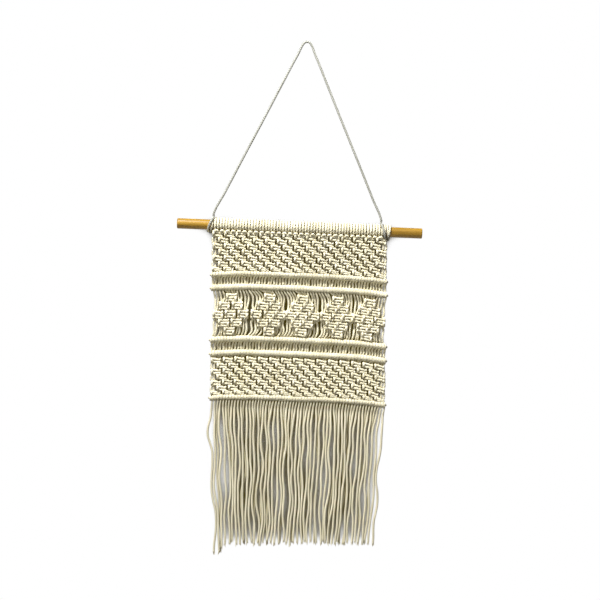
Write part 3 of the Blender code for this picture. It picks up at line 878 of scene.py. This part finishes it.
def wood_material():
    material = bpy.data.materials.new("wood_dowel_finish")
    material.use_nodes = True
    tree = material.node_tree
    link = tree.links.new
    shader = tree.nodes["Principled BSDF"]
    place = add_node(tree, "ShaderNodeTexCoord")
    grain_space = add_node(tree, "ShaderNodeMapping")
    grain_space.inputs["Location"].default_value = (0.0, 0.013, -DOWEL_Z + 0.021)
    grain_space.inputs["Scale"].default_value = (9.0, 260.0, 260.0)
    link(place.outputs["Object"], grain_space.inputs["Vector"])
    grain = add_node(tree, "ShaderNodeTexNoise")
    grain.inputs["Scale"].default_value = 1.0
    grain.inputs["Detail"].default_value = 5.0
    grain.inputs["Distortion"].default_value = 0.4
    link(grain_space.outputs[0], grain.inputs["Vector"])
    pores_space = add_node(tree, "ShaderNodeMapping")
    pores_space.inputs["Scale"].default_value = (60.0, 1500.0, 1500.0)
    link(place.outputs["Object"], pores_space.inputs["Vector"])
    pores = add_node(tree, "ShaderNodeTexNoise")
    pores.inputs["Detail"].default_value = 2.0
    pores.inputs["Scale"].default_value = 1.0
    link(pores_space.outputs[0], pores.inputs["Vector"])
    ramp = add_node(tree, "ShaderNodeValToRGB")
    ramp.color_ramp.elements[0].position = 0.3
    ramp.color_ramp.elements[0].color = (0.15, 0.074, 0.0015, 1)
    ramp.color_ramp.elements[1].position = 0.72
    ramp.color_ramp.elements[1].color = (0.45, 0.25, 0.010, 1)
    mixed = calculate(tree, "MULTIPLY_ADD", pores.outputs["Fac"], 0.25, calculate(tree, "MULTIPLY", grain.outputs["Fac"], 0.8))
    link(mixed, ramp.inputs["Fac"])
    link(ramp.outputs["Color"], shader.inputs["Base Color"])
    link(calculate(tree, "MULTIPLY_ADD", pores.outputs["Fac"], 0.25, 0.35), shader.inputs["Roughness"])
    bump = add_node(tree, "ShaderNodeBump")
    bump.inputs["Strength"].default_value = 0.25
    bump.inputs["Distance"].default_value = 0.1 * MM
    link(pores.outputs["Fac"], bump.inputs["Height"])
    link(bump.outputs["Normal"], shader.inputs["Normal"])
    shader.inputs["Specular IOR Level"].default_value = 0.3
    shader.inputs["Coat Weight"].default_value = 0.1
    shader.inputs["Coat Roughness"].default_value = 0.3
    return material


# ---------------------------------------------------------------- studio


def make_plane(name, corners, material):
    mesh = bpy.data.meshes.new(name)
    mesh.from_pydata(corners, [], [(0, 1, 2, 3)])
    mesh.materials.append(material)
    made = bpy.data.objects.new(name, mesh)
    bpy.context.scene.collection.objects.link(made)
    return made


def make_wall():
    """A glowing white wall just behind the cloth, with a painted shadow: its glow darkens to olive where the cloth is
    close in front of it.

    It is clear from behind, and it casts and bounces no light.
    """
    material = bpy.data.materials.new("wall_with_painted_shadow")
    material.use_nodes = True
    tree = material.node_tree
    link = tree.links.new
    tree.nodes.remove(tree.nodes["Principled BSDF"])
    # Painted shadow: an AO node darkens the wall's glow from white to dark olive where the cloth is near
    open_sky = add_node(tree, "ShaderNodeAmbientOcclusion", samples=24)
    open_sky.inputs["Distance"].default_value = 45 * MM
    shade = add_node(tree, "ShaderNodeValToRGB")
    painted_shadow_dark, clear_of_cloth = shade.color_ramp.elements
    painted_shadow_dark.position = 0.30
    painted_shadow_dark.color = (0.060, 0.045, 0.007, 1)
    painted_shadow_rim = shade.color_ramp.elements.new(0.44)
    painted_shadow_rim.color = (0.24, 0.18, 0.06, 1)
    clear_of_cloth.position = 0.51
    clear_of_cloth.color = (1, 1, 1, 1)
    link(open_sky.outputs["AO"], shade.inputs["Fac"])
    white = add_node(tree, "ShaderNodeEmission")
    link(shade.outputs["Color"], white.inputs["Color"])
    clear = add_node(tree, "ShaderNodeBsdfTransparent")
    behind = add_node(tree, "ShaderNodeNewGeometry")
    choose = add_node(tree, "ShaderNodeMixShader")
    link(behind.outputs["Backfacing"], choose.inputs["Fac"])
    link(white.outputs[0], choose.inputs[1])
    link(clear.outputs[0], choose.inputs[2])
    link(choose.outputs[0], tree.nodes["Material Output"].inputs["Surface"])
    back = CAD_BOX[1][1] + 1 * MM
    wall = make_plane("wall", [(-3, back, -3), (3, back, -3), (3, back, 3), (-3, back, 3)], material)
    wall.visible_shadow = False
    wall.visible_diffuse = False
    wall.visible_glossy = False


def make_floor():
    material = bpy.data.materials.new("pale_floor")
    material.use_nodes = True
    shader = material.node_tree.nodes["Principled BSDF"]
    shader.inputs["Base Color"].default_value = (0.8, 0.8, 0.79, 1)
    shader.inputs["Roughness"].default_value = 0.9
    shader.inputs["Emission Color"].default_value = (0.9, 0.9, 0.88, 1)
    shader.inputs["Emission Strength"].default_value = 0.7
    make_plane("floor", [(-4, -4, -1.1), (4, -4, -1.1), (4, 4, -1.1), (-4, 4, -1.1)], material)
    bpy.data.objects["floor"].visible_diffuse = False


def make_light(name, place, aim, size, power, colour=(1, 1, 1)):
    data = bpy.data.lights.new(name, "AREA")
    data.size = size
    data.energy = power
    data.color = colour
    light = bpy.data.objects.new(name, data)
    light.location = place
    light.rotation_euler = (Vector(aim) - Vector(place)).to_track_quat("-Z", "Y").to_euler()
    bpy.context.scene.collection.objects.link(light)


def make_studio():
    bpy.context.scene.view_settings.view_transform = "Standard"
    world = bpy.data.worlds.new("studio")
    bpy.context.scene.world = world
    world.use_nodes = True
    tree = world.node_tree
    fill = tree.nodes["Background"]
    fill.inputs["Color"].default_value = (1.0, 0.92, 0.70, 1)
    fill.inputs["Strength"].default_value = 0.12
    seen = add_node(tree, "ShaderNodeBackground")
    seen.inputs["Color"].default_value = (1, 1, 1, 1)
    seen.inputs["Strength"].default_value = 1.0
    ray = add_node(tree, "ShaderNodeLightPath")
    choose = add_node(tree, "ShaderNodeMixShader")
    tree.links.new(ray.outputs["Is Camera Ray"], choose.inputs["Fac"])
    tree.links.new(fill.outputs[0], choose.inputs[1])
    tree.links.new(seen.outputs[0], choose.inputs[2])
    tree.links.new(choose.outputs[0], tree.nodes["World Output"].inputs["Surface"])
    middle_of_cloth = (0.0, 0.0, -0.35)
    make_light("key", (-0.48, -0.76, 1.12), middle_of_cloth, 0.25, 55)
    make_light("front", (-0.3, -1.6, 0.1), middle_of_cloth, 0.8, 9)
    make_light("back", (0.5, 1.6, 0.5), middle_of_cloth, 1.4, 14)
    make_wall()
    make_floor()


# ---------------------------------------------------------------- putting it together


def place_piece(piece, slot, body, *replaced):
    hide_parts(*replaced)
    if isinstance(body, str):
        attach(piece, body)
    else:
        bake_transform(piece)
    return piece


def third(routes, number):
    share = len(routes) // 3
    return routes[number * share:(number + 1) * share]


def make_cloth(tree, cotton, holding):
    chance = random.Random(SEED)
    knot_sizes = {"Ring spacing": 0.75 * MM, "Sides": 12}
    upper = upper_routes(chance)
    columns = range(1, COLUMNS + 1)
    for number in range(3):
        nodes = [f"mount_knots_{n:02d}" for n in columns if (n - 1) // 5 == number]
        nodes += ["knot_net_upper", "hitch_row_1"]
        piece = sweep_cords(f"upper_cords_{number + 1}", third(upper, number), tree, cotton, **knot_sizes)
        place_piece(piece, "cotton_cord", "upper_panel", *nodes)
    lower = lower_routes(chance)
    for number in range(3):
        piece = sweep_cords(f"lower_cords_{number + 1}", third(lower, number), tree, cotton, **knot_sizes)
        place_piece(piece, "cotton_cord", "lower_panel", "knot_net_lower", "hitch_row_4", "hitch_row_5")
    for diamond in range(DIAMONDS):
        routes = diamond_routes(diamond, chance)
        piece = sweep_cords(f"diamond_cords_{diamond + 1}", routes, tree, cotton, **knot_sizes)
        place_piece(piece, "cotton_cord", "middle_panel", f"diamond_{diamond + 1}", "hitch_row_2", "hitch_row_3",
                    "loose_strands_upper", "loose_strands_lower")
    bands = (("upper", 0, "upper_panel", "middle_panel"), ("lower", 2, "middle_panel", "lower_panel"))
    for title, ridge, above, below in bands:
        routes = loose_band_routes(RIDGE_Z[ridge], RIDGE_Z[ridge + 1], chance)
        piece = sweep_cords(f"loose_band_{title}", routes, tree, cotton, **knot_sizes)
        low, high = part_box(f"strand_band_{title}")
        place_piece(piece, "cotton_cord", (above, below, high.z, low.z), f"strand_band_{title}")
    for column, routes in enumerate(fringe_routes(chance)):
        node = f"fringe_{column + 1:02d}"
        piece = sweep_cords(f"fringe_cords_{column + 1:02d}", routes, tree, cotton,
                            **{"Ring spacing": 1.1 * MM, "Sides": 12})
        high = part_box(node)[1]
        place_piece(piece, "cotton_cord", ("lower_panel", node, high.z, high.z - 12 * MM), node)
    bodies = ("upper_panel", "middle_panel", "middle_panel", "lower_panel", "lower_panel")
    for number, (ridge_z, body) in enumerate(zip(RIDGE_Z, bodies), start=1):
        piece = sweep_cords(f"holding_cord_{number}_twisted", [holding_route(ridge_z)], tree, holding)
        place_piece(piece, "holding_cord", body, f"holding_cord_{number}")


def make_hanging_cord(tree, material):
    path = hanging_route()
    route = [(place, HANGING_DIAMETER / 2) for place in path]
    piece = sweep_cords("hanging_cord_twisted", [route], tree, material, **{"Ring spacing": 0.6 * MM, "Lay": 8 * MM})
    place_piece(piece, "hanging_cord", "hanger", "hanging_cord", "hanging_knot_left", "hanging_knot_right")


def finish_dowel():
    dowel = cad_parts["dowel"]
    wood = wood_material()
    for slot in dowel.material_slots:
        slot.material = wood


make_camera()
make_studio()
cord_tree = build_cord_tree()
cotton_group = build_cotton_group()
make_hanging_cord(cord_tree, hanging_material(cotton_group))
# Each cotton's second and third colours are painted shade, for the ply grooves and for the hollows between cords
working_cotton = cotton_material("working_cotton", cotton_group, (0.90, 0.87, 0.74), (0.66, 0.57, 0.28),
                                 (0.26, 0.20, 0.04), 0.25)
holding_cotton = cotton_material("holding_cotton", cotton_group, (0.86, 0.80, 0.60), (0.5, 0.42, 0.2),
                                 (0.25, 0.19, 0.05), 0.2)
make_cloth(cord_tree, working_cotton, holding_cotton)
finish_dowel()
